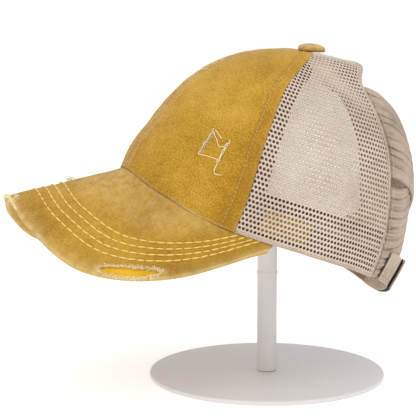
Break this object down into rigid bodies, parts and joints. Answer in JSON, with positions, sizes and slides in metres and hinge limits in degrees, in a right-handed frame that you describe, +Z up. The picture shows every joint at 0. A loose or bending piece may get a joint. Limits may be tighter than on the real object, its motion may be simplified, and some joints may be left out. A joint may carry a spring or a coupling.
{
  "type": "ponytail baseball cap on a cap stand",
  "caption": "Ponytail baseball cap of washed cotton and net, with a curved peak, gathered bands that cross at the back and a closure strap, on a plain domed stand.",
  "frame": {"origin": "middle of the underside of the stand's base", "axes": "+Z up along the stand's pole, -Y towards the peak, +X towards the wearer's left"},
  "size_m": [0.163, 0.2583, 0.2126],
  "materials": {
    "washed_cotton": "mustard washed cotton twill, pale along worn edges",
    "net": "beige polyester net with round holes",
    "tape": "dark brown woven tape",
    "gathered_elastic": "taupe knitted cloth gathered over elastic",
    "label": "blank mustard woven label",
    "board": "bright yellow cloth over the peak's board",
    "strap": "dusty taupe woven strap",
    "hook_pad": "black hook-and-loop pad",
    "stand_plastic": "white satin plastic",
    "stand_steel": "light grey painted steel"
  },
  "bodies": {
    "root": {"front_panel_left": "washed_cotton", "front_panel_right": "washed_cotton", "mesh_panel_left": "net", "mesh_panel_right": "net", "seam_tape_left": "tape", "seam_tape_right": "tape", "band_left": "gathered_elastic", "band_right": "gathered_elastic", "sweatband": "tape", "side_label": "label", "brim_cover_top": "washed_cotton", "brim_board": "board", "brim_cover_under": "washed_cotton", "crown_button": "washed_cotton", "strap_left": "strap", "strap_right": "strap", "strap_hook_pad": "hook_pad", "stand_dome": "stand_plastic", "stand_pole": "stand_steel", "stand_base": "stand_steel"}
  },
  "joints": []
}
